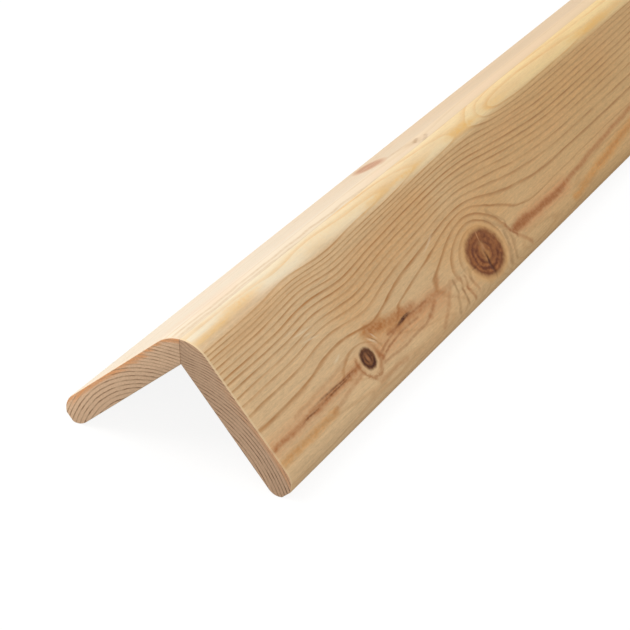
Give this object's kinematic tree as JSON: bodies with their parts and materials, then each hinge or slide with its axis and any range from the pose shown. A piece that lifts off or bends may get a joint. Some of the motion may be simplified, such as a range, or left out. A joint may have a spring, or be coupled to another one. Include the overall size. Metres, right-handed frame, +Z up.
{
  "type": "wooden corner guard moulding",
  "caption": "Right-angled pine corner moulding of two thin legs glued along a mitre, with a rounded nose and rounded toes, to cover an outside wall corner.",
  "frame": {"origin": "on the floor below the nose, halfway along the stock", "axes": "+Y along the stock, +Z up from the toes to the nose, +X towards the right leg"},
  "size_m": [0.067, 1.2, 0.0356],
  "materials": {
    "pale_pine": "planed and sanded, unfinished",
    "honey_pine": "planed and sanded, unfinished"
  },
  "bodies": {
    "root": {"left_lath": "pale_pine", "right_lath": "honey_pine"}
  },
  "joints": []
}
